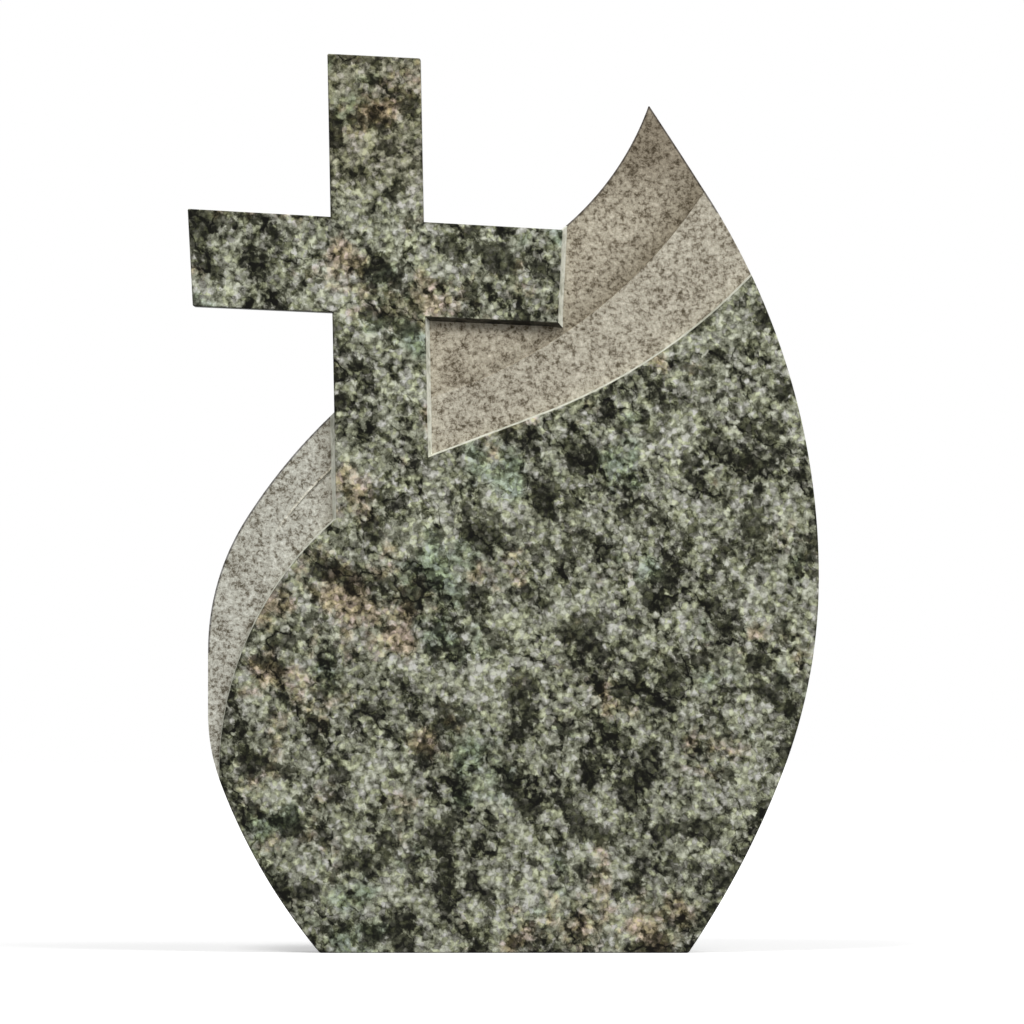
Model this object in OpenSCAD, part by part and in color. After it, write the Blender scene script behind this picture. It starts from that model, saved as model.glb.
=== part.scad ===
// Leaf-shaped headstone with a latin cross, cut from one slab of granite.
// The front face looks toward -Y, Z is up, and the origin is the middle of the base at half thickness.
// All outlines are drawn in the X-Z plane, as [x, z], and stay true arcs.

/* [Slab] */
// Thickness of the slab from front face to back
stone_t = 100; // [60:1:160]

/* [Leaf] */
// Reach of the right flank at its widest point
right_w = 313; // [250:1:400]
// Height of the widest point of the right flank
right_z = 376; // [340:1:400]
// Reach of the left flank at its upright cheek
left_w = 298; // [240:1:360]
// Height where the left cheek starts to curve in toward the base
cheek_low = 240; // [200:1:260]
// Height where the left cheek starts to curve in toward the shoulder
cheek_high = 303; // [270:1:330]
// Height of the flame tip
tip_z = 848; // [780:1:900]
// Depth of the hollow in the flank that runs from the arm up to the flame tip
flame_hollow = 10.4; // [4:0.1:20]
// Distance from the right arm's upper corner to where that flank starts
flame_set_in = 2; // [1:0.5:6]

/* [Cross] */
// Height of the point where the centre lines of upright and crossbar meet
cross_z = 686; // [640:1:740]
// Distance of that point to the left of the middle of the leaf
cross_x = 128; // [90:1:160]
// Width of the upright
upright_w = 93; // [60:1:120]
// Length of the upright above the crossing point
arm_up = 211; // [150:1:260]
// Length of the left arm from the crossing point
arm_left = 188; // [140:1:240]
// Angle by which the left arm's end is cut out of square, with its top reaching further out, in degrees
end_slant = 5.9; // [-3:0.1:8]
// Length of the right arm from the crossing point
arm_right = 183; // [140:1:230]
// Depth of the crossbar at its left end
bar_h_left = 97; // [70:1:120]
// Depth of the crossbar at its right end
bar_h_right = 93; // [70:1:120]
// Angle by which the crossbar dips toward the right, in degrees
bar_dip = 2.9; // [0:0.1:5]
// Angle by which the head of the upright leans left, in degrees
upright_lean = 1.1; // [0:0.1:3]

/* [Sunk band] */
// Depth of the band's floor below the front face
band_d = 12; // [8:1:24]
// Depth of the band where it runs out at its lower left tail
tail_d = 4; // [2:1:8]
// Run of the sloped wall around the cross
cross_run = 4; // [2:0.5:6]
// Height of the upright lip above those sloped walls
lip = 1.5; // [0.5:0.5:3]
// Run of the sloped wall along the polished body
body_run = 2; // [1:0.5:4]
// Height on the upright's right side where the body's polished face begins
body_top = 494; // [470:1:540]
// Length of the straight start of the body's upper edge
body_run_in = 125; // [60:1:140]
// Radius of the body's upper edge beyond the straight start
body_r = 565; // [480:1:700]

/* [Folds in the band] */
// Fall of the right fold's floor at the flame's flank
fold_right_d = 6; // [3:0.5:10]
// Width of the right fold's sloping strip
fold_right_w = 40; // [20:1:60]
// Fall of the left fold's floor at the upright
fold_left_d = 3.5; // [2:0.5:6]
// Width of the left fold's sloping strip
fold_left_w = 30; // [20:1:45]

/* [Hidden] */
$fn = 360;

// Each flank turns from one arc into the next where the arc's radius points this way, as [x, z] of
// length 1. Their short decimals keep every centre exact, so that the arcs meet without a step.
steep = [0.8432, 0.5376];
low = [0.936, 0.352];

// The two radii of each flank's arcs, from its widest point outward.
right_up = [710, 5710];
right_down = [545, 870];
left_up = [245, 555];
left_down = [200, 585];

// Centre and radius of the body's upper left edge and of the two folds.
body_left_c = [48, 180];
body_left_r = 334.5;
fold_right_c = [-224, 1038];
fold_right_r = 505;
fold_left_c = [75, 213];
fold_left_r = 368.5;
tail = [-291, 190];              // where the band runs out on the left flank
fold_right_start = [-78, 556];   // where the right fold comes out from behind the cross
fold_right_end = [198, 757];     // where it leaves through the right flank
fold_left_top = 485;             // height where the left fold comes out from behind the upright
fold_left_fade = 84;             // length over which the left fold fades out

far = 2000;               // larger than the whole stone
cut = 1;                  // how far a cutter stands clear of the face it cuts
past_tip = 20;            // how far the right flank's arc is drawn past the tip, which the hollow flank cuts
front = -stone_t / 2;
split = -cross_x;         // everything left of this line is the leaf's left half

// Two arcs that run smoothly into each other, from [x, z] outward, as [centre, radius, first height,
// last height]. side is 1 on the right flank and -1 on the left, turn points to where they meet.
function two_arcs(side, radii, x, z, turn, z_end) =
    let (c = [x - side * radii[0], z],
        joint = c + radii[0] * [side * turn[0], turn[1]],
        c_next = joint - radii[1] * [side * turn[0], turn[1]])
    [[c, radii[0], z, joint[1]], [c_next, radii[1], joint[1], z_end]];

// Where an arc stands at a height.
function x_at(side, arc, z) = arc[0][0] + side * sqrt(arc[1] * arc[1] - pow(z - arc[0][1], 2));

down = [low[0], -low[1]];
right_arcs = concat(
    two_arcs(1, right_up, right_w, right_z, steep, tip_z + past_tip),
    two_arcs(1, right_down, right_w, right_z, down, 0));
left_arcs = concat(
    two_arcs(-1, left_up, -left_w, cheek_high, steep, far),
    two_arcs(-1, left_down, -left_w, cheek_low, down, 0));
base_mid = (x_at(1, right_arcs[3], 0) + x_at(-1, left_arcs[3], 0)) / 2;
tip = [x_at(1, right_arcs[1], tip_z), tip_z];

// The crossbar's own directions, along it and up from it.
along = [cos(bar_dip), -sin(bar_dip)];
up = [sin(bar_dip), cos(bar_dip)];
crossing = [split, cross_z];
end_slide = bar_h_left / 2 * tan(end_slant);
arm_corner = crossing + along * arm_right + up * bar_h_right / 2;

// The flame's hollow flank leaves the crossbar's upper edge just left of the arm's end.
flame_start = arm_corner - along * flame_set_in;

// Centre and radius of the circle through p and q that swells by a depth to the right of the way there.
function swelling(p, q, depth) =
    let (half = (q - p) / 2, n = norm(half), r = (n * n + depth * depth) / 2 / depth)
    [p + half + [-half[1], half[0]] / n * (r - depth), r];
flame = swelling(flame_start, tip, flame_hollow);

// The body's upper edge on the right: a straight start, then an arc that runs smoothly out of it.
body_from = [split + upright_w / 2, body_top];
body_slope = atan2(low[1], low[0]);
body_join = body_from + low * body_run_in;
body_c = body_join + [-low[1], low[0]] * body_r;

// Half of the leaf: the inside of each arc within its own heights.
module leaf_half(side, arcs) {
    for (a = arcs)
        intersection() {
            translate(a[0]) circle(r = a[1]);
            translate([side > 0 ? split : split - far, min(a[2], a[3])])
                square([far, abs(a[3] - a[2])]);
        }
}

// The half plane above a line through p at an angle.
module above(p, angle) {
    translate(p) rotate(angle) translate([-far, 0]) square([2 * far, far]);
}

module leaf_outline() {
    difference() {
        leaf_half(1, right_arcs);
        intersection() {
            translate(flame[0]) circle(r = flame[1]);
            above(crossing, -bar_dip);
        }
    }
    leaf_half(-1, left_arcs);
    translate([-left_w, cheek_low]) square([left_w - cross_x, cheek_high - cheek_low]);
}

// Crossbar in its own frame, with the crossing point at 0; the left end is the deeper one.
module bar_outline() {
    polygon([
        [-arm_left + end_slide, -bar_h_left / 2],
        [arm_right, -bar_h_right / 2],
        [arm_right, bar_h_right / 2],
        [-arm_left - end_slide, bar_h_left / 2]
    ]);
}

// Upright in its own frame; its head is cut level with the crossbar, its foot is inside the body.
module upright_outline() {
    head_fall = tan(bar_dip + upright_lean) * upright_w / 2;
    foot = body_top - cross_z;
    polygon([
        [-upright_w / 2, foot],
        [upright_w / 2, foot],
        [upright_w / 2, arm_up - head_fall],
        [-upright_w / 2, arm_up + head_fall]
    ]);
}

module cross_outline() {
    translate(crossing) rotate(-bar_dip) bar_outline();
    translate(crossing) rotate(upright_lean) upright_outline();
}

// Stands a drawing up: [x, y] becomes [x, z], through the whole thickness.
module stand_up() {
    rotate([90, 0, 0]) linear_extrude(stone_t, center = true) children();
}

// Places a frame at p, turned by angle in the X-Z plane: its X runs along the angle.
module at(p, angle) {
    translate([p[0], 0, p[1]]) rotate([0, -angle, 0]) children();
}

// Everything above the line through p at an angle, with a sloped wall: the wall leaves the line at
// a start depth, and its foot lies a run below the line at the band's depth.
module raised_above(p, angle, run, start) {
    deep = band_d + fold_right_d + cut;
    slope = run / (band_d - start);
    at(p, angle) rotate([0, 90, 0]) linear_extrude(2 * far, center = true)
        polygon([
            [-far, front - cut],
            [-slope * (start + cut), front - cut],
            [slope * (deep - start), front + deep],
            [-far, front + deep]
        ]);
}

// A disc on the front face whose radius changes by a step at the band's depth.
module sloped_disc(c, r, step) {
    deep = band_d + fold_right_d + cut;
    slope = step / band_d;
    translate([c[0], front - cut, c[1]]) rotate([-90, 0, 0])
        cylinder(h = deep + cut, r1 = r - slope * cut, r2 = r + slope * deep);
}

// The sloped walls around the cross, filled inward: the strip between the upright's sides, and all
// that lies above the crossbar's underside and left of its right end.
module cross_foot() {
    side = [cos(upright_lean), sin(upright_lean)] * upright_w / 2;
    under = crossing + along * arm_right - up * bar_h_right / 2;
    taper = atan((bar_h_left - bar_h_right) / 2 / (arm_left + arm_right));
    intersection() {
        raised_above(crossing + side, 90 + upright_lean, cross_run, lip);
        raised_above(crossing - side, upright_lean - 90, cross_run, lip);
    }
    intersection() {
        raised_above(under, taper - bar_dip, cross_run, lip);
        raised_above(arm_corner, 90 - bar_dip, cross_run, lip);
    }
}

// Block in front of a floor that is band_d deep at p and gets deeper by the given tilt along an angle.
module down_to_floor(p, angle, tilt) {
    at(p, angle) rotate([0, 0, tilt]) translate([-far, front - far, -far])
        cube([2 * far, far + band_d, 2 * far]);
}

// Ring whose conical floor falls at a slope to the fold line of radius r, where it lies fall below
// the band's floor. It is tilted about p, so that the fall fades out along the band.
module fold(c, r, fall, slope, p, angle, tilt) {
    at(p, angle) rotate([0, 0, tilt]) rotate([0, angle, 0])
        translate([c[0] - p[0], front + band_d, c[1] - p[1]]) rotate([-90, 0, 0])
            rotate_extrude()
                polygon([[r - band_d / slope, fall - band_d], [r, fall - band_d], [r, fall]]);
}

// Right part of the band, above the body's upper edge.
module band_right() {
    intersection() {
        down_to_floor(crossing, 0, 0);
        translate([split, -far, 0]) cube([far, 2 * far, far]);
        union() {
            difference() {
                at(body_join, body_slope) translate([-far, -far, -far]) cube([far, 2 * far, 2 * far]);
                raised_above(body_from, 180 + body_slope, body_run, 0);
            }
            sloped_disc(body_c, body_r, -body_run);
        }
    }
    run_out = fold_right_end - fold_right_start;
    fold_angle = atan2(run_out[1], run_out[0]);
    intersection() {
        fold(fold_right_c, fold_right_r, fold_right_d, fold_right_d / fold_right_w,
            fold_right_end, fold_angle, atan(fold_right_d / norm(run_out)));
        translate([split, -far, 0]) cube([far, 2 * far, far]);
    }
}

// Left part of the band, outside the body's upper left edge.
module band_left() {
    foot = [split - upright_w / 2, fold_left_top];
    run_out = tail - foot;
    tail_angle = atan2(run_out[1], run_out[0]);
    rise = atan((band_d - tail_d) / norm(run_out));
    difference() {
        intersection() {
            translate([split - far, -far, 0]) cube([far, 2 * far, far]);
            union() {
                down_to_floor(foot, tail_angle, -rise);
                fold(fold_left_c, fold_left_r, fold_left_d, fold_left_d / fold_left_w,
                    foot, tail_angle, -rise - atan(fold_left_d / fold_left_fade));
            }
        }
        sloped_disc(body_left_c, body_left_r, body_run);
    }
}

// The leaf with its sunk band, and the foot of the cross's walls left standing in it.
module leaf() {
    difference() {
        stand_up() leaf_outline();
        difference() {
            union() {
                band_right();
                band_left();
            }
            cross_foot();
        }
    }
}

module headstone() {
    color([0.42, 0.45, 0.38])
        translate([-base_mid, 0, 0]) {
            leaf();
            stand_up() cross_outline();
        }
}

headstone();
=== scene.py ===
# %% [markdown]
# # A carved granite headstone, step by step
# The stone is one slab of granite, 100 mm thick. A leaf-shaped body ends in a pointed flame at the
# right, and a plain latin cross, cut from the same slab, stands at the left. Body and cross are
# polished. Between them sweeps a band that is sunk about 12 mm and roughened with a bush hammer.
# The lesson follows the mason: draw the outlines, cut the slab, ease the edges, sink the band, and
# then give each kind of surface its finish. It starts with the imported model, which gives the slab's
# thickness and its place.

import math

import bmesh
import bpy
import numpy as np
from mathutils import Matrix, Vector, noise


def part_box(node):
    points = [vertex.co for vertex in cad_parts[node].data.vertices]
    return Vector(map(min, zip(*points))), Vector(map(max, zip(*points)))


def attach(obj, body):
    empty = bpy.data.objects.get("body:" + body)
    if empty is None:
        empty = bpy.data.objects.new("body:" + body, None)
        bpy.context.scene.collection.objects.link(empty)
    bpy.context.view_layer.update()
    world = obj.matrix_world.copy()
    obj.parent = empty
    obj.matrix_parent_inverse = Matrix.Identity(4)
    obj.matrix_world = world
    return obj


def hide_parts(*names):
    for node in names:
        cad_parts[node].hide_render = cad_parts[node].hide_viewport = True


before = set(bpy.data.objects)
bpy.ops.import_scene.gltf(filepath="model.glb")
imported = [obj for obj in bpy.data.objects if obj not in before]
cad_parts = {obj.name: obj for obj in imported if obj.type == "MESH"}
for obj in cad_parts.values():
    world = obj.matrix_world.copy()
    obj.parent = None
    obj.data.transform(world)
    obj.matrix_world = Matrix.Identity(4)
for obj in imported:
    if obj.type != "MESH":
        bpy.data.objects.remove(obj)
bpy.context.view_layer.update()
low_corner, high_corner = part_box("headstone")
print("the packed stone measures", [round(side, 4) for side in high_corner - low_corner])

# %% [markdown]
# ## A pen for outlines
# An outline made of straight lines and true arcs is drawn best the way a draughtsman draws it: put
# a point down, then extrude it along a line or spin it about an arc's centre. Spin places its
# points exactly on the arc, so there are no numbers to copy. All drawing is done in millimetres in
# the X-Z plane, and each helper hands back the place where the pen stands.

# %% The pen
MM = 0.001
CURVE_STEP = 2.5  # longest straight piece along an arc, in millimetres
SAME_POINT = 0.05  # points nearer than this, in millimetres, are one


def pen_down(name, x, z):
    """A new mesh of one point, left in edit mode."""
    bpy.ops.object.select_all(action="DESELECT")
    bpy.ops.mesh.primitive_plane_add(size=MM, location=(0, 0, 0))
    bpy.context.object.name = name
    bpy.ops.object.mode_set(mode="EDIT")
    bpy.ops.mesh.select_mode(type="VERT")
    bpy.ops.mesh.merge(type="CENTER")
    bpy.ops.transform.translate(value=(x * MM, 0, z * MM))
    return x, z


def line_to(pen, x, z):
    step = ((x - pen[0]) * MM, 0, (z - pen[1]) * MM)
    bpy.ops.mesh.extrude_region_move(TRANSFORM_OT_translate={"value": step})
    return x, z


def heading(centre, point):
    """The direction from a centre to a point, in radians."""
    return math.atan2(point[1] - centre[1], point[0] - centre[0])


def spin_about(centre, turn, steps):
    """Spins what is selected about a centre. From the front, a turn above 0 is anticlockwise."""
    middle = (centre[0] * MM, 0, centre[1] * MM)
    bpy.ops.mesh.spin(steps=steps, angle=-turn, center=middle, axis=(0, -1, 0))


def arc_to(pen, centre, x, z, steps=None):
    """Spins the pen about a centre, the short way round, until it points at (x, z)."""
    turn = heading(centre, (x, z)) - heading(centre, pen)
    turn = (turn + math.pi) % (2 * math.pi) - math.pi
    if steps is None:
        steps = max(1, math.ceil(abs(turn) * math.dist(pen, centre) / CURVE_STEP))
    spin_about(centre, turn, steps)
    return x, z


def pen_up(depth):
    """Closes the outline, leaves it as a loop of edges at a depth along Y, and returns it."""
    bpy.ops.mesh.select_all(action="SELECT")
    bpy.ops.mesh.remove_doubles(threshold=SAME_POINT * MM)
    bpy.ops.transform.translate(value=(0, depth * MM, 0))
    bpy.ops.object.mode_set(mode="OBJECT")
    return bpy.context.object


print("arcs are drawn in steps of up to", CURVE_STEP, "mm")

# %% Slabs, circles and closed meshes


def face_outward():
    """Turns all normals of the mesh being edited outward, and leaves edit mode."""
    bpy.ops.mesh.select_all(action="SELECT")
    bpy.ops.mesh.normals_make_consistent(inside=False)
    bpy.ops.object.mode_set(mode="OBJECT")


def make_slab(outline, depth):
    """Fills a closed outline and pulls it along Y into a slab."""
    bpy.ops.object.mode_set(mode="EDIT")
    bpy.ops.mesh.select_all(action="SELECT")
    bpy.ops.mesh.edge_face_add()
    bpy.ops.mesh.extrude_region_move(TRANSFORM_OT_translate={"value": (0, depth * MM, 0)})
    face_outward()
    return outline


def on_circle(centre, radius, x=None, z=None, side=1):
    """A circle's point at a given x or z: its upper or right one, or with side -1 the other."""
    if x is None:
        return centre[0] + side * math.sqrt(radius**2 - (z - centre[1]) ** 2), z
    return x, centre[1] + side * math.sqrt(radius**2 - (x - centre[0]) ** 2)


def open_edges(piece):
    """How many edges don't lie between exactly two faces: a closed piece has none."""
    edge_of_corner = np.empty(len(piece.data.loops), np.int32)
    piece.data.loops.foreach_get("edge_index", edge_of_corner)
    uses = np.bincount(edge_of_corner, minlength=len(piece.data.edges))
    return int((uses != 2).sum())


def tell(name, piece):
    print(name + ":", len(piece.data.polygons), "faces,", open_edges(piece), "open edges")


THICK = (high_corner.y - low_corner.y) / MM
FRONT = low_corner.y / MM
print("slab", round(THICK, 2), "mm thick, front face at y =", round(FRONT, 2), "mm")

# %% [markdown]
# ## The leaf
# The leaf's outline is nine arcs, a short upright line on the left flank and the flat base. Arcs
# that run smoothly into each other have their centres on one line through the point where they
# meet, and the two directions below fix all of those points. The outline could be a Bezier curve,
# but a curve's handles only come near an arc, and the polished flanks would show it. Behind the
# cross the outline just has to stay hidden, so two straight lines do.

# %% Where the arcs of the flanks meet
STEEP = Vector((0.8432, 0.5376))  # from an upper arc's centre to its end
LOW = Vector((0.936, 0.352))  # from a lower arc's centre to its end
RIGHT_WIDE, RIGHT_WIDE_Z = 313, 376  # the widest point on the right, and its height
LEFT_WIDE, LEFT_LOW_Z, LEFT_HIGH_Z = 298, 240, 303  # the widest line on the left, and its ends
RIGHT_FOOT_R, RIGHT_LOW_R, RIGHT_HIGH_R, RIGHT_TIP_R = 870, 545, 710, 5710
LEFT_FOOT_R, LEFT_LOW_R, LEFT_HIGH_R, SHOULDER_R = 585, 200, 245, 555


def mirror(direction, x=1, z=1):
    return Vector((direction.x * x, direction.y * z))


def next_arc(centre, radius, way, next_radius):
    """Where an arc ends, and the centre of the arc that runs smoothly on from there."""
    joint = centre + radius * way
    return joint, joint - next_radius * way


right_low_c = Vector((RIGHT_WIDE - RIGHT_LOW_R, RIGHT_WIDE_Z))
right_high_c = Vector((RIGHT_WIDE - RIGHT_HIGH_R, RIGHT_WIDE_Z))
left_low_c = Vector((LEFT_LOW_R - LEFT_WIDE, LEFT_LOW_Z))
left_high_c = Vector((LEFT_HIGH_R - LEFT_WIDE, LEFT_HIGH_Z))
right_foot_way = mirror(LOW, z=-1)
left_foot_way = mirror(LOW, x=-1, z=-1)
shoulder_way = mirror(STEEP, x=-1)
right_foot_joint, right_foot_c = next_arc(right_low_c, RIGHT_LOW_R, right_foot_way, RIGHT_FOOT_R)
right_tip_joint, right_tip_c = next_arc(right_high_c, RIGHT_HIGH_R, STEEP, RIGHT_TIP_R)
left_foot_joint, left_foot_c = next_arc(left_low_c, LEFT_LOW_R, left_foot_way, LEFT_FOOT_R)
shoulder_joint, shoulder_c = next_arc(left_high_c, LEFT_HIGH_R, shoulder_way, SHOULDER_R)
for joint in (right_tip_joint, shoulder_joint):
    print("two arcs meet at", round(joint.x, 1), round(joint.y, 1), "mm")

# %% The flame's hollow
CROSSING = Vector((-128, 686))  # where the bar and the upright cross
BAR_DIP = math.radians(2.9)
ALONG = Vector((math.cos(BAR_DIP), -math.sin(BAR_DIP)))  # to the right along the bar
UP = Vector((-ALONG.y, ALONG.x))
ARM_RIGHT = 183
BAR_HALF_RIGHT = 46.5
TIP_Z = 848
FLAME_HOLLOW = 10.4  # how far the arc lies inside a straight line to the tip
FLAME_INSET = 2  # the hollow starts this far in from the arm's corner
INTO_BAR = 6  # and is drawn on this far down, where the bar hides it

tip = Vector(on_circle(right_tip_c, RIGHT_TIP_R, z=TIP_Z))
arm_corner = CROSSING + ALONG * ARM_RIGHT + UP * BAR_HALF_RIGHT
flame_start = arm_corner - ALONG * FLAME_INSET
half = (tip - flame_start) / 2
flame_r = (half.length**2 + FLAME_HOLLOW**2) / 2 / FLAME_HOLLOW
off_line = Vector((-half.y, half.x)).normalized()
flame_c = flame_start + half + off_line * (flame_r - FLAME_HOLLOW)
start_in_bar = Vector(on_circle(flame_c, flame_r, z=flame_start.y - INTO_BAR))
print("the flame's hollow has a radius of", round(flame_r, 1), "mm")

# %% Draw the leaf
HIDDEN_X = -110  # where the outline goes on behind the upright

base_left = on_circle(left_foot_c, LEFT_FOOT_R, z=0, side=-1)
base_right = on_circle(right_foot_c, RIGHT_FOOT_R, z=0)
pen = pen_down("leaf", *base_left)
pen = arc_to(pen, left_foot_c, *left_foot_joint)
pen = arc_to(pen, left_low_c, -LEFT_WIDE, LEFT_LOW_Z)
pen = line_to(pen, -LEFT_WIDE, LEFT_HIGH_Z)
pen = arc_to(pen, left_high_c, *shoulder_joint)
pen = arc_to(pen, shoulder_c, *on_circle(shoulder_c, SHOULDER_R, x=HIDDEN_X))
pen = line_to(pen, HIDDEN_X, CROSSING.y)
pen = line_to(pen, *start_in_bar)
pen = arc_to(pen, flame_c, *tip)
pen = arc_to(pen, right_tip_c, *right_tip_joint)
pen = arc_to(pen, right_high_c, RIGHT_WIDE, RIGHT_WIDE_Z)
pen = arc_to(pen, right_low_c, *right_foot_joint)
pen = arc_to(pen, right_foot_c, *base_right)
line_to(pen, *base_left)
leaf = make_slab(pen_up(FRONT), THICK)
tell("leaf", leaf)

# %% [markdown]
# ## Easing the edges
# No mason leaves a granite edge knife sharp, because it chips. Each outer edge gets a narrow arris,
# a small flat at 45 degrees. A Bevel modifier with an angle limit would do it too, but here the
# edges are picked by their angle and bevelled once, while the slab is still simple: after the band
# is cut, thousands of small edges would be in the way. Inner corners stay sharp, as a saw leaves
# them.

# %% Ease the leaf's edges
ARRIS = 1.1
SHARP = math.radians(30)  # an edge that turns by more than this is eased


def ease_edges(piece):
    """Bevels the outer edges of a piece."""
    bpy.ops.object.select_all(action="DESELECT")
    piece.select_set(True)
    bpy.context.view_layer.objects.active = piece
    bpy.ops.object.mode_set(mode="EDIT")
    bpy.ops.mesh.select_mode(type="EDGE")
    bpy.ops.mesh.select_all(action="DESELECT")
    bpy.ops.mesh.edges_select_sharp(sharpness=SHARP)
    for edge in bmesh.from_edit_mesh(piece.data).edges:
        if not edge.is_convex:
            edge.select_set(False)
    bpy.ops.mesh.bevel(offset=ARRIS * MM, segments=1, affect="EDGES", clamp_overlap=True)
    bpy.ops.object.mode_set(mode="OBJECT")


ease_edges(leaf)
tell("leaf with eased edges", leaf)

# %% [markdown]
# ## The cross
# The crossbar dips a little to the right, the upright leans a little to the left, and the left
# arm's end is cut out of square. The outline has twelve corners. The four at the arms' ends are
# measured from the crossing, and the other eight lie where two edges meet, so they are found by
# crossing two lines. The same function can grow the outline evenly, which the sloped walls around
# the cross need later.

# %% The cross's corners
LEAN = math.radians(1.1)
RISE = Vector((-math.sin(LEAN), math.cos(LEAN)))
ACROSS = Vector((RISE.y, -RISE.x))
UPRIGHT_HALF = 46.5
BAR_HALF_LEFT = 48.5
ARM_LEFT = 188
END_SLANT = math.radians(5.9)
ARM_UP = 211
FOOT_Z = 400  # the upright is drawn down to here, deep in the body


def turn_between(first, second):
    """The cross product of two directions in the plane."""
    return first.x * second.y - first.y * second.x


def meet(first, first_way, second, second_way):
    """Where a line through the first point meets a line through the second."""
    apart = turn_between(second - first, second_way)
    return first + first_way * (apart / turn_between(first_way, second_way))


def cross_corners(grow):
    """The cross's corners, clockwise from its lower left foot, all edges moved out by grow."""
    to_left = -ALONG * (ARM_LEFT + grow)
    to_right = ALONG * (ARM_RIGHT + grow)
    slide = ALONG * BAR_HALF_LEFT * math.tan(END_SLANT)
    left_top = CROSSING + to_left - slide + UP * (BAR_HALF_LEFT + grow)
    left_bottom = CROSSING + to_left + slide - UP * (BAR_HALF_LEFT + grow)
    right_top = CROSSING + to_right + UP * (BAR_HALF_RIGHT + grow)
    right_bottom = CROSSING + to_right - UP * (BAR_HALF_RIGHT + grow)
    top_edge = (left_top, right_top - left_top)
    bottom_edge = (left_bottom, right_bottom - left_bottom)
    left_edge = (CROSSING - ACROSS * (UPRIGHT_HALF + grow), RISE)
    right_edge = (CROSSING + ACROSS * (UPRIGHT_HALF + grow), RISE)
    head_edge = (CROSSING + RISE * (ARM_UP + grow), ALONG)
    foot_edge = (Vector((0, FOOT_Z)), Vector((1, 0)))
    return [
        meet(*left_edge, *foot_edge),
        meet(*left_edge, *bottom_edge),
        left_bottom,
        left_top,
        meet(*left_edge, *top_edge),
        meet(*left_edge, *head_edge),
        meet(*right_edge, *head_edge),
        meet(*right_edge, *top_edge),
        right_top,
        right_bottom,
        meet(*right_edge, *bottom_edge),
        meet(*right_edge, *foot_edge),
    ]


print("the cross has", len(cross_corners(0)), "corners")

# %% Draw the cross


def draw_corners(name, corners, depth):
    pen = pen_down(name, *corners[0])
    for corner in corners[1:]:
        pen = line_to(pen, *corner)
    line_to(pen, *corners[0])
    return pen_up(depth)


cross = make_slab(draw_corners("cross", cross_corners(0), FRONT), THICK)
ease_edges(cross)
tell("cross", cross)

# %% [markdown]
# ## What stays standing
# The band is easier to cut if the tool is as wide as the whole band and is stopped by what stays
# standing: the polished body and the cross. Their walls slope, so each is a block that gets wider
# with depth. A block is drawn as a loop at each depth, and the loops are joined with Bridge Edge
# Loops. The body's block has one more loop near the top, which leaves an arris along its edge.

# %% Loops into blocks
SAME_DEPTH = 0.01  # points of one loop differ less than this in depth, in millimetres


def pick(piece, wanted):
    """Selects the vertices of a piece that pass a test, and leaves it in edit mode."""
    bpy.context.view_layer.objects.active = piece
    bpy.ops.object.mode_set(mode="EDIT")
    bpy.ops.mesh.select_mode(type="VERT")
    bpy.ops.mesh.select_all(action="DESELECT")
    bpy.ops.object.mode_set(mode="OBJECT")
    for vertex in piece.data.vertices:
        vertex.select = wanted(vertex)
    bpy.ops.object.mode_set(mode="EDIT")


def loft(loops):
    """Joins loops of edges that lie behind each other along Y, and closes both ends."""
    bpy.ops.object.select_all(action="DESELECT")
    for loop in loops:
        loop.select_set(True)
    block = loops[0]
    bpy.context.view_layer.objects.active = block
    depths = [loop.data.vertices[0].co.y for loop in loops]
    bpy.ops.object.join()
    for near, far in zip(depths, depths[1:]):
        pick(block, lambda v: min(abs(v.co.y - near), abs(v.co.y - far)) < SAME_DEPTH * MM)
        bpy.ops.mesh.bridge_edge_loops()
        bpy.ops.object.mode_set(mode="OBJECT")
    for end in (depths[0], depths[-1]):
        pick(block, lambda v: abs(v.co.y - end) < SAME_DEPTH * MM)
        bpy.ops.mesh.edge_face_add()
        bpy.ops.object.mode_set(mode="OBJECT")
    bpy.ops.object.mode_set(mode="EDIT")
    face_outward()
    return block


print("loops are told apart to", SAME_DEPTH, "mm")

# %% The cross's block
BAND_DEPTH = 12
CROSS_RUN = 4  # how far the wall around the cross stands out at the band's floor
LIP = 1.5  # the wall starts to slope this far below the front
CLEAR = 2  # the blocks start this far in front of the stone
BLOCK_DEPTH = 26  # and end this far below its front


def cross_wall(depth):
    """How far the wall around the cross stands out at a depth."""
    return (depth - LIP) * CROSS_RUN / (BAND_DEPTH - LIP)


cross_block = loft(
    [
        draw_corners("cross_loop", cross_corners(cross_wall(depth)), FRONT + depth)
        for depth in (-CLEAR, BLOCK_DEPTH)
    ]
)
tell("cross block", cross_block)

# %% The body's block
BODY_TOP = Vector((-81.5, 494))  # where the band's lower edge comes out of the upright
BODY_STRAIGHT = 125  # it runs straight for so long, and then bends
BODY_BACK = 20  # and starts this far back, inside the upright
BODY_R = 565
BODY_LEFT_C = Vector((48, 180))
BODY_LEFT_R = 334.5
BODY_LEFT_Z = 165  # height where the body's left edge has left the leaf
BODY_LEFT_X = -150  # and where it goes on behind the upright
BODY_RUN = 2  # how far the body's wall stands out at the band's floor
BODY_ARRIS = 0.8
BODY_STEPS, BODY_LEFT_STEPS = 160, 120  # equal in all loops, so that they can be bridged
BEYOND = 345  # a way round the leaf
UNDER = -25
edge_out = Vector((-LOW.y, LOW.x))
body_join = BODY_TOP + LOW * BODY_STRAIGHT
body_c = body_join + edge_out * BODY_R


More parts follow.
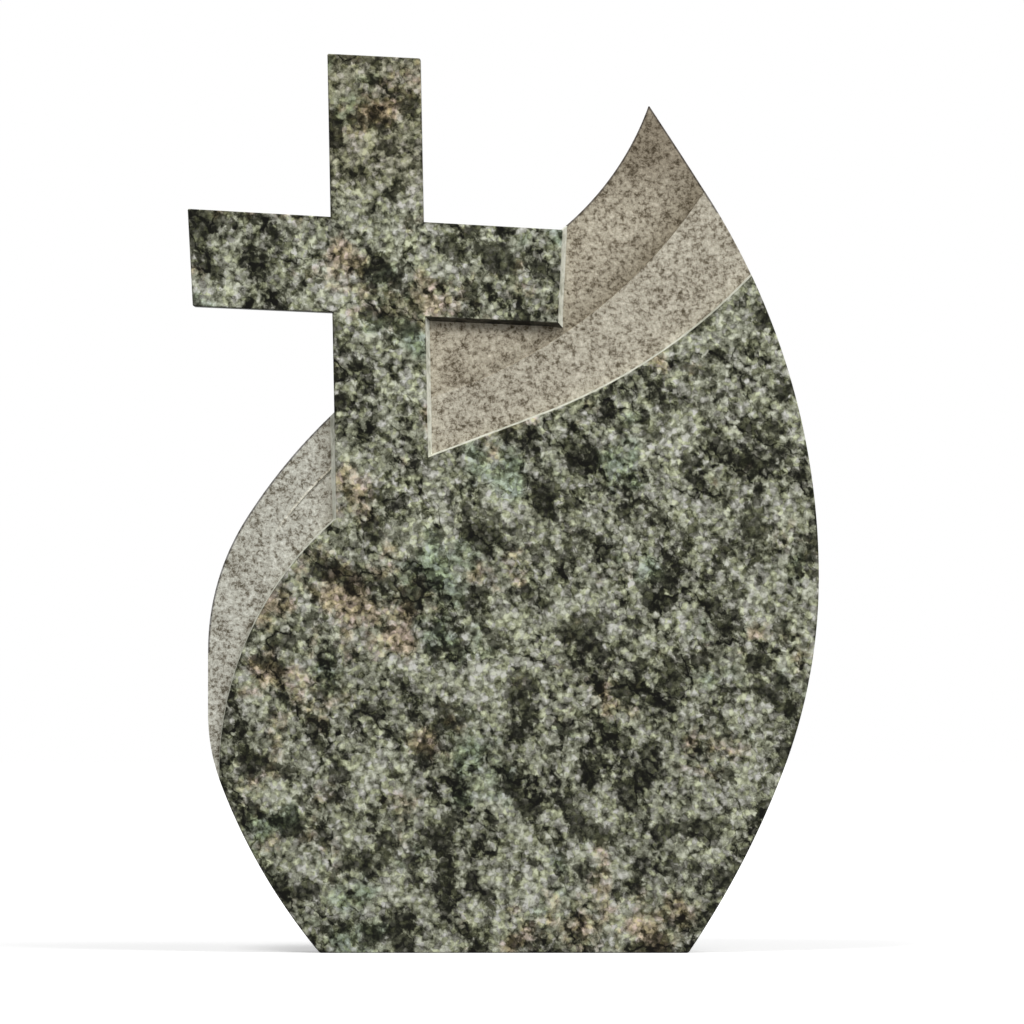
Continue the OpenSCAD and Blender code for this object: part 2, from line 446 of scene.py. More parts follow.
def body_loop(depth, grow):
    """The body's block at a depth: its two edges under the band, and a wide way round the leaf."""
    out = edge_out * grow
    start = BODY_TOP - LOW * BODY_BACK + out
    end = on_circle(body_c, BODY_R - grow, x=BEYOND, side=-1)
    low_left = on_circle(BODY_LEFT_C, BODY_LEFT_R + grow, z=BODY_LEFT_Z, side=-1)
    high_left = on_circle(BODY_LEFT_C, BODY_LEFT_R + grow, x=BODY_LEFT_X)
    pen = pen_down("body_loop", *start)
    pen = line_to(pen, *(body_join + out))
    pen = arc_to(pen, body_c, *end, steps=BODY_STEPS)
    pen = line_to(pen, BEYOND, UNDER)
    pen = line_to(pen, -BEYOND, UNDER)
    pen = line_to(pen, -BEYOND, BODY_LEFT_Z)
    pen = line_to(pen, *low_left)
    pen = arc_to(pen, BODY_LEFT_C, *high_left, steps=BODY_LEFT_STEPS)
    line_to(pen, *start)
    return pen_up(FRONT + depth)


def body_wall(depth):
    return depth * BODY_RUN / BAND_DEPTH


body_block = loft(
    [
        body_loop(-CLEAR, body_wall(0) - BODY_ARRIS - CLEAR),
        body_loop(BODY_ARRIS, body_wall(BODY_ARRIS)),
        body_loop(BLOCK_DEPTH, body_wall(BLOCK_DEPTH)),
    ]
)
tell("body block", body_block)

# %% [markdown]
# ## The hammered floor
# The band's floor has a fold in it on each side: along a circle, an upper strip dips and then steps
# up to the next strip. A bush hammer leaves small irregular pits all over. Displacing a fine net
# shows them in the mesh itself, where a bump map would lose them at the edge. The net is made by
# spinning one row of points about the centre of the fold's circle, so that the fold always lies
# along a line of the net and stays crisp. Spin is slow with many points, so the net is spun with
# wide meshes and then subdivided. Pulled out of the stone, it becomes a cutting tool.

# %% Spinning a net
NET_MESH = 4  # width of the spun net's meshes, in millimetres
NET_CUTS = 3  # cuts that subdivide each of them


def net(name, centre, fold_r, inward, outward, angles):
    """A fan of points about a centre, a number of meshes inward and outward of the fold."""
    start = math.radians(angles[0])
    way = Vector((math.cos(start), math.sin(start)))
    pen = pen_down(name, *(centre + way * (fold_r - inward * NET_MESH)))
    for i in range(-inward + 1, outward + 1):
        pen = line_to(pen, *(centre + way * (fold_r + i * NET_MESH)))
    bpy.ops.mesh.select_all(action="SELECT")
    turn = math.radians(angles[1] - angles[0])
    spin_about(centre, turn, round(abs(turn) * fold_r / NET_MESH))
    bpy.ops.mesh.select_all(action="SELECT")
    bpy.ops.mesh.subdivide(number_cuts=NET_CUTS)
    bpy.ops.object.mode_set(mode="OBJECT")
    return bpy.context.object


print("the nets' meshes are", NET_MESH / (NET_CUTS + 1), "mm wide")

# %% Hammer marks, and a net pulled into a tool
PIT_DEPTH = 0.42
PIT_SIZE = 2.9
FINE_SIZE = PIT_SIZE * 0.55
WAVE_SIZE = 14
FINE_SHARE, WAVE_SHARE = 0.6, 0.5
FINE_PLACE, WAVE_PLACE = Vector((40, 7, 3)), Vector((5, 90, 1))  # parts of the noise far apart
PULL = 30  # how far a net is pulled out, in millimetres, before its far side is flattened
TOOL_CLEAR = 8  # the tools end this far in front of the stone


def pits(x, z):
    """Depth of the hammer's marks at a place, in millimetres: coarse and fine, on a slow wave."""
    here = Vector((x, z, 0))
    coarse = noise.noise(here / PIT_SIZE)
    fine = noise.noise(here / FINE_SIZE + FINE_PLACE)
    wave = noise.noise(here / WAVE_SIZE + WAVE_PLACE)
    return PIT_DEPTH * (coarse + FINE_SHARE * fine + WAVE_SHARE * wave)


def sink(tool, floor):
    """Moves the net's points to the floor's depth, pulls it out past the front and closes it."""
    for vertex in tool.data.vertices:
        x, z = vertex.co.x / MM, vertex.co.z / MM
        vertex.co.y = (FRONT + floor(x, z) + pits(x, z)) * MM
    bpy.ops.object.mode_set(mode="EDIT")
    bpy.ops.mesh.select_all(action="SELECT")
    bpy.ops.mesh.extrude_region_move(TRANSFORM_OT_translate={"value": (0, -PULL * MM, 0)})
    flat = (FRONT - TOOL_CLEAR) * MM
    bpy.ops.transform.resize(value=(1, 0, 1), center_override=(0, flat, 0))
    face_outward()


print("hammer marks at three places:", [round(pits(x, 600), 2) for x in (0, 60, 120)], "mm")

# %% The right net
FOLD_STEP = NET_MESH / (NET_CUTS + 1) / 2  # the fold steps up within half a mesh
FOLD_RIGHT_C = Vector((-224, 1038))
FOLD_RIGHT_R = 505
FOLD_RIGHT_FALL = 6
FOLD_RIGHT_WIDTH = 40
FOLD_RIGHT_START = Vector((-78, 556))
FOLD_RIGHT_END = Vector((198, 757))


def right_floor(x, z):
    """Depth of the right floor: inside the fold it falls toward it, less and less to the left."""
    r = math.dist((x, z), FOLD_RIGHT_C)
    if r > FOLD_RIGHT_R - FOLD_STEP:
        return BAND_DEPTH
    run = FOLD_RIGHT_END - FOLD_RIGHT_START
    far = (Vector((x, z)) - FOLD_RIGHT_START).dot(run) / run.length_squared
    fall = 1 - (FOLD_RIGHT_R - r) / FOLD_RIGHT_WIDTH - (1 - far)
    return BAND_DEPTH + FOLD_RIGHT_FALL * max(0, fall)


right_tool = net("right_tool", FOLD_RIGHT_C, FOLD_RIGHT_R, inward=27, outward=25, angles=(-77, -22))
sink(right_tool, right_floor)
tell("right tool", right_tool)

# %% The left net
FOLD_LEFT_C = Vector((75, 213))
FOLD_LEFT_R = 368.5
FOLD_LEFT_FALL = 3.5
FOLD_LEFT_WIDTH = 30
FOLD_LEFT_FADE = 84
BAND_FOOT = Vector((-174.5, 485))
TAIL = Vector((-291, 190))
TAIL_DEPTH = 4


def left_floor(x, z):
    """Depth of the left floor: it rises toward the tail, and a short fold starts at the upright."""
    run = TAIL - BAND_FOOT
    far = (Vector((x, z)) - BAND_FOOT).dot(run) / run.length
    depth = BAND_DEPTH - (BAND_DEPTH - TAIL_DEPTH) * far / run.length
    r = math.dist((x, z), FOLD_LEFT_C)
    if r > FOLD_LEFT_R - FOLD_STEP:
        return depth
    fall = 1 - (FOLD_LEFT_R - r) / FOLD_LEFT_WIDTH - far / FOLD_LEFT_FADE
    return depth + FOLD_LEFT_FALL * max(0, fall)


left_tool = net("left_tool", FOLD_LEFT_C, FOLD_LEFT_R, inward=13, outward=14, angles=(122, 188))
sink(left_tool, left_floor)
tell("left tool", left_tool)

# %% [markdown]
# ## Cutting the stone
# Boolean modifiers do the mason's work. Each tool first loses what the two blocks protect, then it
# is taken from the leaf, and the cross is joined on last. Each modifier is applied at once, so the
# result is one mesh without open edges. Along the edges of the hammered floor it keeps a few dozen
# slivers, about a tenth of a millimetre high at most, to be cleaned away before printing.

# %% Cut and join


def combine(piece, tool, operation, keep_tool=False):
    """Applies one boolean to a piece and removes the tool, unless it is needed again."""
    bpy.ops.object.select_all(action="DESELECT")
    piece.select_set(True)
    bpy.context.view_layer.objects.active = piece
    step = piece.modifiers.new("carve", "BOOLEAN")
    step.operation = operation
    step.solver = "MANIFOLD"
    step.object = tool
    bpy.ops.object.modifier_apply(modifier=step.name)
    if not keep_tool:
        bpy.data.objects.remove(tool)
    tell(piece.name + " " + operation.lower(), piece)


combine(right_tool, body_block, "DIFFERENCE", keep_tool=True)
combine(right_tool, cross_block, "DIFFERENCE", keep_tool=True)
combine(left_tool, body_block, "DIFFERENCE")
combine(left_tool, cross_block, "DIFFERENCE")
combine(leaf, right_tool, "DIFFERENCE")
combine(leaf, left_tool, "DIFFERENCE")
combine(leaf, cross, "UNION")
stone = leaf
stone.name = "carved_stone"

# %% [markdown]
# ## Into place
# The outline was drawn from the middle of the leaf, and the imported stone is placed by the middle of
# its base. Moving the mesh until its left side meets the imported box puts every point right, and the
# object itself stays at the origin, where its patterns are measured from.

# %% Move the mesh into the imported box
WELD = 0.004  # points nearer than this, in millimetres, are joined

own_left = min(v.co.x for v in stone.data.vertices)
shift = low_corner.x - own_left
bpy.ops.object.mode_set(mode="EDIT")
bpy.ops.mesh.select_all(action="SELECT")
bpy.ops.transform.translate(value=(shift, 0, 0))
bpy.ops.mesh.remove_doubles(threshold=WELD * MM)
bpy.ops.object.mode_set(mode="OBJECT")
tell("moved by " + str(round(shift / MM, 3)) + " mm", stone)

# %% [markdown]
# ## Sorting the faces
# One stone has five kinds of surface: polished, hammered, honed, sawn and a dark painted shade.
# Material slots can be given to faces by hand, but here the faces are found by where they are and
# which way they face. The floor of the band lies below the front and faces the viewer, the walls
# lean, and the back faces away. The walls that face down are coloured dark as painted shade, while
# the other walls are honed, pale and made paler still as painted light. The folds' steps stand
# upright like walls, but they belong to the floor, so they are found by their place along a fold
# and the small size of their faces.

# %% Give the faces their slots
POLISHED, HAMMERED, HONED, SAWN, SHADE_PAINTED = range(5)
KINDS = ("polished", "hammered", "honed", "sawn", "shade_painted")
# A face on the front points at the viewer by 1, a flank by 0 and the back by -1.
BACK_BELOW, FLANK_BELOW, FLOOR_ABOVE = -0.9, 0.05, 0.5
# Walls that point up less than this hang over and are coloured dark as painted shade.
SHADE_PAINTED_BELOW = -0.5  # how far a wall points up: this one hangs over
DEEPEST = BAND_DEPTH + FOLD_RIGHT_FALL + 3  # nothing of the band lies deeper, in millimetres
FOLD_EDGE = 2.5  # how near to its arc a fold's step lies, in millimetres
FOLD_FACE = 10  # largest face of a fold's step, in square millimetres
SMOOTH_BELOW = math.radians(32)  # faces that meet at a smaller angle than this look like one


def kind_of(face):
    depth = face.center.y / MM - FRONT
    toward_viewer = -face.normal.y
    if toward_viewer < BACK_BELOW:
        return SAWN
    if depth < LIP or depth > DEEPEST:
        return POLISHED
    if toward_viewer > FLOOR_ABOVE:
        return HAMMERED
    place = Vector((face.center.x - shift, face.center.z)) / MM
    for centre, radius in ((FOLD_RIGHT_C, FOLD_RIGHT_R), (FOLD_LEFT_C, FOLD_LEFT_R)):
        if abs(math.dist(place, centre) - radius) < FOLD_EDGE and face.area < FOLD_FACE * MM**2:
            return HAMMERED
    if toward_viewer < FLANK_BELOW:
        return POLISHED
    # Walls facing down get the dark painted shade; the others get the pale honed finish, partly
    # painted light.
    return HONED if face.normal.z > SHADE_PAINTED_BELOW else SHADE_PAINTED


stone.data.materials.clear()
counts = dict.fromkeys(KINDS, 0)
for face in stone.data.polygons:
    face.material_index = kind_of(face)
    counts[KINDS[face.material_index]] += 1
bpy.ops.object.shade_smooth_by_angle(angle=SMOOTH_BELOW)
print("faces of each kind:", counts)

# %% [markdown]
# ## Nodes with less typing
# A shader is a chain of nodes. A few small helpers keep the chains readable: they add any node and
# plug in its inputs, make fractal noise, do arithmetic, map ranges and mix colours. Colours are
# written as they show on a screen, from 0 to 255, and are turned into the linear values that light
# is worked out in.

# %% Finishes, nodes and numbers


def screen(red, green, blue):
    """A colour as a screen shows it, turned into linear light."""
    parts = [c / 255 for c in (red, green, blue)]
    return [c / 12.92 if c < 0.04045 else ((c + 0.055) / 1.055) ** 2.4 for c in parts] + [1]


def new_finish(name, roughness, specular):
    material = bpy.data.materials.new(name)
    material.use_nodes = True
    shader = material.node_tree.nodes["Principled BSDF"]
    shader.inputs["Roughness"].default_value = roughness
    shader.inputs["Specular IOR Level"].default_value = specular
    return material, material.node_tree, shader


def node(tree, kind, inputs=(), **settings):
    """Adds a node. inputs are pairs of a socket's name or number and a value or a socket."""
    made = tree.nodes.new(kind)
    for key, value in settings.items():
        setattr(made, key, value)
    for key, value in inputs:
        if isinstance(value, bpy.types.NodeSocket):
            tree.links.new(value, made.inputs[key])
        else:
            made.inputs[key].default_value = value
    return made


def calc(tree, operation, a, b=0.0, c=0.0):
    return node(tree, "ShaderNodeMath", [(0, a), (1, b), (2, c)], operation=operation).outputs[0]


def add_scaled(tree, value, strength, base):
    """base + (value - 0.5) * strength: adds a pattern of 0 to 1 without changing the mean much."""
    return calc(tree, "MULTIPLY_ADD", calc(tree, "SUBTRACT", value, 0.5), strength, base)


def between(tree, value, start, end, low=0.0, high=1.0):
    """Maps a value from the range start to end onto low to high, with soft ends."""
    inputs = [("Value", value), ("From Min", start), ("From Max", end)]
    inputs += [("To Min", low), ("To Max", high)]
    made = node(tree, "ShaderNodeMapRange", inputs, interpolation_type="SMOOTHSTEP")
    return made.outputs["Result"]


print("a middling grey on a screen is", round(screen(128, 128, 128)[0], 3), "in linear light")

# %% Patterns and colours


def fractal(tree, place, per_metre, detail, roughness, warp=0):
    """Fractal noise with so many features in a metre."""
    inputs = [("Vector", place), ("Scale", per_metre), ("Detail", detail)]
    inputs += [("Roughness", roughness), ("Distortion", warp)]
    return node(tree, "ShaderNodeTexNoise", inputs).outputs["Fac"]


def ramp(tree, value, stops):
    """A colour ramp from pairs of a position and a screen colour."""
    made = node(tree, "ShaderNodeValToRGB", [("Fac", value)])
    points = made.color_ramp.elements
    while len(points) < len(stops):
        points.new(0.5)
    for point, (position, colour) in zip(points, stops):
        point.position = position
        point.color = screen(*colour)
    return made.outputs["Color"]


def tint(tree, factor, colour, by):
    """Multiplies a colour by three shares of red, green and blue, as much as the factor says."""
    mix = node(tree, "ShaderNodeMix", [("Factor", factor)], data_type="RGBA", blend_type="MULTIPLY")
    tree.links.new(colour, mix.inputs[6])
    mix.inputs[7].default_value = list(by) + [1]
    return mix.outputs[2]


def split(tree, place):
    """The X, Y and Z of a place, by name."""
    return node(tree, "ShaderNodeSeparateXYZ", [("Vector", place)]).outputs


def roughen(tree, shader, height, depth):
    """Bumps a surface by a height of 0 to 1, where 1 is as many millimetres as depth says."""
    bump = node(tree, "ShaderNodeBump", [("Height", height), ("Distance", depth * MM)])
    tree.links.new(bump.outputs["Normal"], shader.inputs["Normal"])


# %% [markdown]
# ## Granite
# Granite is a packing of crystals. Its mottling has broad grey patches about 50 mm wide, dark clots
# half as wide, and grains of 5 to 8 mm, which are calmer inside the clots. A Voronoi pattern gives
# each crystal a shade of its own, and a few thin dark veins wind between them. The place is turned
# and stretched first, because the stone's dark minerals flow a little from the upper left to the
# lower right. Everything is measured on Object coordinates in metres, so that the pattern runs
# through the slab and its sides match its face.

# %% The granite pattern
FLOW_TURN = -38  # degrees from upright
FLOW_STRETCH = 1.35
CRYSTALS = 190  # in a metre
SHAKE = (0.006, 0.006, 0.006)  # how far the crystals' edges are jittered, in metres
BLOB_STRENGTH, CELL_STRENGTH, SHADE_STRENGTH = 1.95, -0.4, 0.2
PATCH_STRENGTH, MEAN_SHADE = 0.8, 0.64
CLOT_SHADE, CLOT_CALM = -0.36, -0.45
VEIN_SHADE = -0.25


def granite_mix(tree):
    """How light the granite is, about 0 to 1, the place itself, and each crystal's own number."""
    place = node(tree, "ShaderNodeTexCoord").outputs["Object"]
    jitter = [("Vector", place), ("Scale", CRYSTALS), ("Detail", 2)]
    jitter = node(tree, "ShaderNodeTexNoise", jitter).outputs["Color"]
    shaken = [(0, jitter), (1, SHAKE), (2, place)]
    shaken = node(tree, "ShaderNodeVectorMath", shaken, operation="MULTIPLY_ADD").outputs[0]
    turned = node(tree, "ShaderNodeMapping", [("Vector", shaken)], vector_type="TEXTURE")
    turned.inputs["Rotation"].default_value = (0, math.radians(FLOW_TURN), 0)
    turned.inputs["Scale"].default_value = (1, 1, FLOW_STRETCH)
    flow = turned.outputs["Vector"]
    patches = fractal(tree, flow, per_metre=20, detail=2, roughness=0.6)
    clots = fractal(tree, flow, per_metre=38, detail=4, roughness=0.68)
    clots = between(tree, clots, 0.51, 0.43)
    blobs = fractal(tree, shaken, per_metre=130, detail=3, roughness=0.62)
    crystals = node(tree, "ShaderNodeTexVoronoi", [("Vector", shaken), ("Scale", CRYSTALS)])
    numbers = node(tree, "ShaderNodeSeparateColor", [("Color", crystals.outputs["Color"])]).outputs
    grain = add_scaled(tree, blobs, BLOB_STRENGTH, 0.0)
    grain = add_scaled(tree, crystals.outputs["Distance"], CELL_STRENGTH, grain)
    grain = add_scaled(tree, numbers[0], SHADE_STRENGTH, grain)
    grain = calc(tree, "MULTIPLY", grain, calc(tree, "MULTIPLY_ADD", clots, CLOT_CALM, 1.0))
    value = calc(tree, "ADD", add_scaled(tree, patches, PATCH_STRENGTH, MEAN_SHADE), grain)
    value = calc(tree, "MULTIPLY_ADD", clots, CLOT_SHADE, value)
    winding = fractal(tree, flow, per_metre=9, detail=4, roughness=0.6)
    ridge = calc(tree, "ABSOLUTE", calc(tree, "SUBTRACT", winding, 0.5))
    veins = between(tree, ridge, 0.012, 0.002)
    value = calc(tree, "MULTIPLY_ADD", veins, VEIN_SHADE, value)
    return value, place, numbers[1]


# %% Polished granite
GRANITE_STOPS = (
    (0.0, (20, 20, 16)),
    (0.16, (36, 37, 28)),
    (0.34, (74, 75, 61)),
    (0.5, (109, 110, 94)),
    (0.66, (141, 143, 125)),
    (0.86, (177, 179, 160)),
    (1.0, (205, 207, 190)),
)
YELLOWISH, LILAC = (1.02, 1.04, 0.88), (0.98, 0.95, 1.08)
RUSTY, BLUISH = (1.2, 0.95, 0.86), (0.8, 0.94, 0.88)
DARKER_HEAD = (0.84, 0.8, 0.74)
APART = (3.1, 1.7, 5.2)  # keeps the bluish patches away from the rusty ones


def granite_colour(tree, value, place, crystal):
    """The mottled colour: yellowish and lilac crystals, and a few rusty and bluish patches."""
    colour = ramp(tree, value, GRANITE_STOPS)
    colour = tint(tree, between(tree, crystal, 0.55, 0.95), colour, YELLOWISH)
    colour = tint(tree, between(tree, crystal, 0.4, 0.05), colour, LILAC)
    rust = fractal(tree, place, per_metre=9, detail=5, roughness=0.7)
    colour = tint(tree, between(tree, rust, 0.55, 0.66, high=0.9), colour, RUSTY)
    moved = node(tree, "ShaderNodeVectorMath", [(0, place), (1, APART)]).outputs[0]
    blue = fractal(tree, moved, per_metre=8, detail=4, roughness=0.7)
    colour = tint(tree, between(tree, blue, 0.56, 0.68, high=0.9), colour, BLUISH)
    height = split(tree, place)["Z"]
    return tint(tree, between(tree, height, 0.72, 0.8), colour, DARKER_HEAD)


polished, tree, shader = new_finish("polished_granite", 0.18, 0.2)
value, place, crystal = granite_mix(tree)
tree.links.new(granite_colour(tree, value, place, crystal), shader.inputs["Base Color"])
tree.links.new(between(tree, crystal, 0, 1, 0.14, 0.24), shader.inputs["Roughness"])
print("polished granite has", len(tree.nodes), "nodes")

# %% [markdown]
# ## The hammered band
# Under the hammer the crystals shatter, so the stone turns pale and matt, and only fine dark specks
# and faint stains are left of its mottling. The pits themselves are in the mesh, and a bump adds
# the crushed grain between them. Shade is painted into the floor's colour: it darkens toward the
# right fold, as painted shade in the crease, and a thin dark line of painted shade runs where the
# floor ends at the flanks. Near the tip the floor is darker. A painted highlight runs pale along the
# edge of the short fold on the left.

# %% Specks and stains
HAMMERED_STOPS = (
    (0.28, (78, 70, 54)),
    (0.4, (124, 116, 100)),
    (0.48, (165, 158, 142)),
    (0.58, (184, 178, 161)),
    (0.74, (210, 204, 188)),
)
MOTTLE_LEFT, STAIN_STRENGTH = 0.1, 0.45
COOLER = (1.12, 1.19, 1.28)

hammered, tree, shader = new_finish("hammered_granite", 0.9, 0.2)
mottle, place, _ = granite_mix(tree)
specks = fractal(tree, place, per_metre=230, detail=3, roughness=0.78, warp=0.3)
stains = fractal(tree, place, per_metre=75, detail=3, roughness=0.65)
value = add_scaled(tree, mottle, MOTTLE_LEFT, specks)
value = add_scaled(tree, stains, STAIN_STRENGTH, value)
colour = ramp(tree, value, HAMMERED_STOPS)
x, _, z = split(tree, place)
colour = tint(tree, between(tree, x, -0.14, -0.2), colour, COOLER)
print("specks and stains take", len(tree.nodes), "nodes")

# %% Painted shade along the right fold, and a darker floor near the tip
# Painted shade: the floor darkens toward the right fold and a little over the strip inside it; near
# the tip it is darker too.
FOLD_SHADE, STRIP_SHADE, TIP_SHADE = (0.7, 0.68, 0.64), (0.95, 0.93, 0.9), (0.58, 0.55, 0.52)
SHADE_WIDTH = 36  # of the shade along the fold, in millimetres


def distance_from(centre):
    """The distance from the centre of an arc, seen from the front, in metres."""
    at = (centre.x * MM + shift, 0, centre.y * MM)
    flat = node(tree, "ShaderNodeCombineXYZ", [("X", x), ("Z", z)]).outputs[0]
    far = node(tree, "ShaderNodeVectorMath", [(0, flat), (1, at)], operation="DISTANCE")
    return far.outputs["Value"]


right_r = distance_from(FOLD_RIGHT_C)
in_strip = calc(tree, "LESS_THAN", right_r, FOLD_RIGHT_R * MM)
gradient = between(tree, right_r, (FOLD_RIGHT_R - SHADE_WIDTH) * MM, FOLD_RIGHT_R * MM)
onward = between(tree, x, -0.09, 0.16, 0.12, 1)
shade = calc(tree, "MULTIPLY", calc(tree, "MULTIPLY", in_strip, gradient), onward)
colour = tint(tree, shade, colour, FOLD_SHADE)
whole_strip = calc(tree, "MULTIPLY", in_strip, between(tree, x, -0.14, -0.09))
colour = tint(tree, whole_strip, colour, STRIP_SHADE)
colour = tint(tree, between(tree, z, 0.73, 0.81), colour, TIP_SHADE)
print("with the shade they take", len(tree.nodes), "nodes")

# %% A painted highlight on the left fold, and painted shade along the rims
FOLD_HIGHLIGHT, FOLD_HIGHLIGHT_OUTSIDE = (1.36, 1.34, 1.3), 0.8  # the line's middle lies this far outside the fold
# Painted shade: a thin dark line on the floor at the foot of the flanks.
RIM_SHADE = (0.42, 0.42, 0.46)
RIM_SHADES = (  # each arc's centre and radius, and the heights it runs between
    (shoulder_c, SHOULDER_R, 435, 560),
    (left_high_c, LEFT_HIGH_R, 300, 435),
    (flame_c, flame_r, 700, 860),
    (right_tip_c, RIGHT_TIP_R, 740, 860),
)


def near_arc(centre, radius, wide, narrow):
    """1 within a narrow distance of an arc, falling to 0 at a wide one, in millimetres."""
    off = calc(tree, "SUBTRACT", distance_from(centre), radius * MM)
    return between(tree, calc(tree, "ABSOLUTE", off), wide * MM, narrow * MM)


# Painted highlight: a pale line along the edge of the left fold.
fold_highlight = near_arc(FOLD_LEFT_C, FOLD_LEFT_R + FOLD_HIGHLIGHT_OUTSIDE, wide=1.3, narrow=0.5)
fold_highlight = calc(tree, "MULTIPLY", fold_highlight, between(tree, z, 0.41, 0.44))
fold_highlight = calc(tree, "MULTIPLY", fold_highlight, calc(tree, "LESS_THAN", x, -0.15))
colour = tint(tree, fold_highlight, colour, FOLD_HIGHLIGHT)
# Paints the shade along the foot of each flank.
for centre, radius, low_z, high_z in RIM_SHADES:
    dark = near_arc(centre, radius, wide=2.1, narrow=1.2)
    middle, reach = (low_z + high_z) / 2 * MM, (high_z - low_z) / 2 * MM
    on_arc = calc(tree, "COMPARE", z, middle, reach)
    colour = tint(tree, calc(tree, "MULTIPLY", dark, on_arc), colour, RIM_SHADE)
tree.links.new(colour, shader.inputs["Base Color"])
crushed = fractal(tree, place, per_metre=700, detail=2, roughness=0.6)
roughen(tree, shader, crushed, 0.5)
print("hammered granite has", len(tree.nodes), "nodes")

# %% [markdown]
# ## Honed walls, the sawn back and painted shade
# The walls of the band are cut with a disc and left honed: the same granite, pale and without
# gloss, and its colours are made paler still as painted light on the walls. The back is only sawn,
# so its pattern is dull and low in contrast, and the saw's level marks run across it. The walls
# that face down are dark and matt: painted shade under the overhangs.

# %% Honed, sawn and shade-painted granite
# Honed granite is pale, and these stops are paler still: partly the honed stone's own colour, partly
# painted light on the walls.
HONED_STOPS = ((0.1, (178, 179, 163)), (0.5, (212, 213, 199)), (0.9, (230, 231, 218)))
# Painted shade: the walls that face down are coloured as stone in shade.
SHADE_PAINTED_STOPS = ((0.2, (30, 28, 22)), (0.8, (76, 72, 62)))
FADED, FADED_SHADE = 0.7, 0.58
SAW_MARKS = (6, 6, 220)  # features in a metre: long across the back, fine up and down


def plain_finish(name, roughness, specular, stops, bumps, depth):
    """The granite's pattern in a few colours, with so many bumps in a metre."""
    finish, tree, shader = new_finish(name, roughness, specular)
    value, place, _ = granite_mix(tree)
    tree.links.new(ramp(tree, value, stops), shader.inputs["Base Color"])
    height = fractal(tree, place, per_metre=bumps, detail=2, roughness=0.6)
    roughen(tree, shader, height, depth)
    return finish


honed = plain_finish("honed_granite", 0.55, 0.3, HONED_STOPS, bumps=500, depth=0.15)

sawn, tree, shader = new_finish("sawn_granite", 0.6, 0.3)
value, place, crystal = granite_mix(tree)
faded = add_scaled(tree, value, FADED, FADED_SHADE)
tree.links.new(granite_colour(tree, faded, place, crystal), shader.inputs["Base Color"])
squeezed = node(tree, "ShaderNodeMapping", [("Vector", place)])
squeezed.inputs["Scale"].default_value = SAW_MARKS
marks = fractal(tree, squeezed.outputs["Vector"], per_metre=1, detail=3, roughness=0.6)
roughen(tree, shader, marks, 0.4)

shade_painted = plain_finish("shade_painted_granite", 0.7, 0.2, SHADE_PAINTED_STOPS, bumps=700, depth=0.3)

for finish in (polished, hammered, honed, sawn, shade_painted):
    stone.data.materials.append(finish)
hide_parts("headstone")
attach(stone, "root")
print("the stone has", len(stone.data.materials), "finishes")

# %% [markdown]
# ## Floor, camera and light
# The stone stands on a white floor in a white studio. To the camera, floor and studio are near
# white by themselves, while the light that falls on the stone stays at a plain level. The camera
# stands far away with a long lens, so that the slab's sides don't show.

# %% Floor
FLOOR_SIZE = 30
PAPER_PLAIN, PAPER_SEEN = 0.3, 0.8
GLOW_FROM, GLOW_TO = 0.3, 2.2  # distances from the stone over which the floor brightens, in metres
GLOW_NEAR, GLOW_FAR = 0.42, 0.95


def seen_directly(tree):
    """1 for what the camera sees, itself or through glass, and 0 for light on its way."""
    ray = node(tree, "ShaderNodeLightPath").outputs
    return calc(tree, "MAXIMUM", ray["Is Camera Ray"], ray["Is Transmission Ray"])


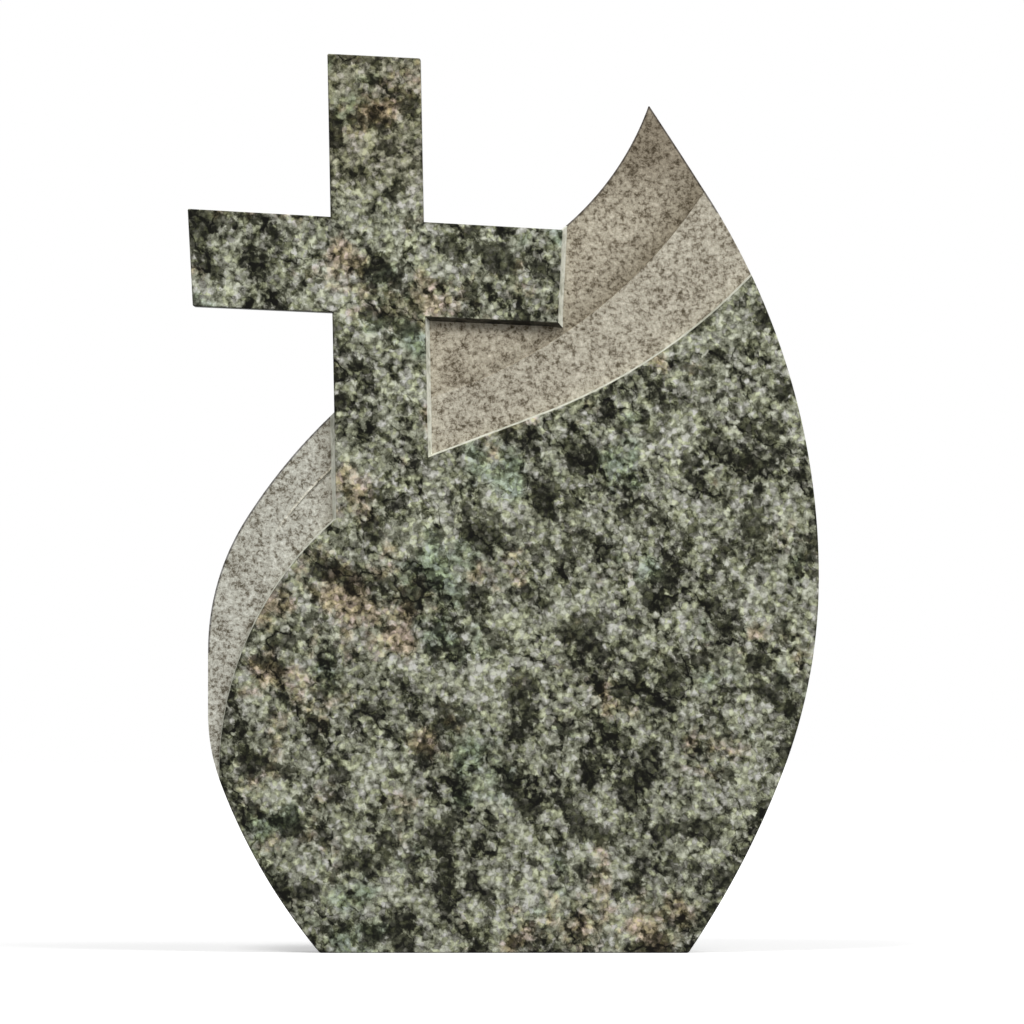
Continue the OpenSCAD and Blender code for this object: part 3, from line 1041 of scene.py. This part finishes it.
bpy.ops.mesh.primitive_plane_add(size=FLOOR_SIZE, location=(0, 0, 0))
floor = bpy.context.object
floor.name = "studio_floor"
bpy.ops.object.mode_set(mode="EDIT")
bpy.ops.mesh.subdivide(number_cuts=3)
bpy.ops.object.mode_set(mode="OBJECT")
paper, tree, shader = new_finish("white_paper", 0.9, 0)
seen = seen_directly(tree)
paleness = between(tree, seen, 0, 1, PAPER_PLAIN, PAPER_SEEN)
channels = [(channel, paleness) for channel in ("Red", "Green", "Blue")]
paper_colour = node(tree, "ShaderNodeCombineColor", channels).outputs[0]
tree.links.new(paper_colour, shader.inputs["Base Color"])
place = node(tree, "ShaderNodeTexCoord").outputs["Object"]
away = node(tree, "ShaderNodeVectorMath", [(0, place)], operation="LENGTH").outputs["Value"]
brighter = between(tree, away, GLOW_FROM, GLOW_TO, GLOW_NEAR, GLOW_FAR)
glow = calc(tree, "MULTIPLY", seen, brighter)
shader.inputs["Emission Color"].default_value = (1, 1, 1, 1)
tree.links.new(glow, shader.inputs["Emission Strength"])
floor.data.materials.append(paper)
print("floor", FLOOR_SIZE, "m wide")

# %% Camera
CAMERA_X, CAMERA_Y, CAMERA_Z = 0.0079, -20.0, 0.441
SENSOR = 36  # millimetres
VIEW_WIDTH = 1.024  # metres across the picture, at the front of the stone

level = (math.radians(90), 0, 0)
bpy.ops.object.camera_add(location=(CAMERA_X, CAMERA_Y, CAMERA_Z), rotation=level)
camera = bpy.context.object
camera.data.sensor_width = SENSOR
camera.data.lens = SENSOR * (low_corner.y - CAMERA_Y) / VIEW_WIDTH
bpy.context.scene.camera = camera
print("lens of", round(camera.data.lens), "mm")

# %% Lights and studio
MIDDLE = (0, 0, 0.45)
STUDIO_PLAIN, STUDIO_SEEN = 0.3, 1.0


def softbox(name, place, size, watts):
    """A square lamp that faces the middle of the stone."""
    bpy.ops.object.light_add(type="AREA", location=place)
    lamp = bpy.context.object
    lamp.name = name
    lamp.data.size = size
    lamp.data.energy = watts
    way = Vector(MIDDLE) - Vector(place)
    lamp.rotation_euler = way.to_track_quat("-Z", "Y").to_euler()
    print(name, "lamp", round(way.length, 1), "m away")


softbox("key", (-1.5, -4.0, 5.0), size=1.8, watts=195)
softbox("fill", (2.9, -2.7, 3.6), size=3.0, watts=180)
world = bpy.data.worlds.new("studio")
bpy.context.scene.world = world
world.use_nodes = True
tree = world.node_tree
strengths = [("Value", seen_directly(tree)), ("To Min", STUDIO_PLAIN), ("To Max", STUDIO_SEEN)]
strength = node(tree, "ShaderNodeMapRange", strengths).outputs["Result"]
background = tree.nodes["Background"]
background.inputs["Color"].default_value = (1, 1, 1, 1)
tree.links.new(strength, background.inputs["Strength"])
bpy.context.scene.view_settings.view_transform = "Standard"
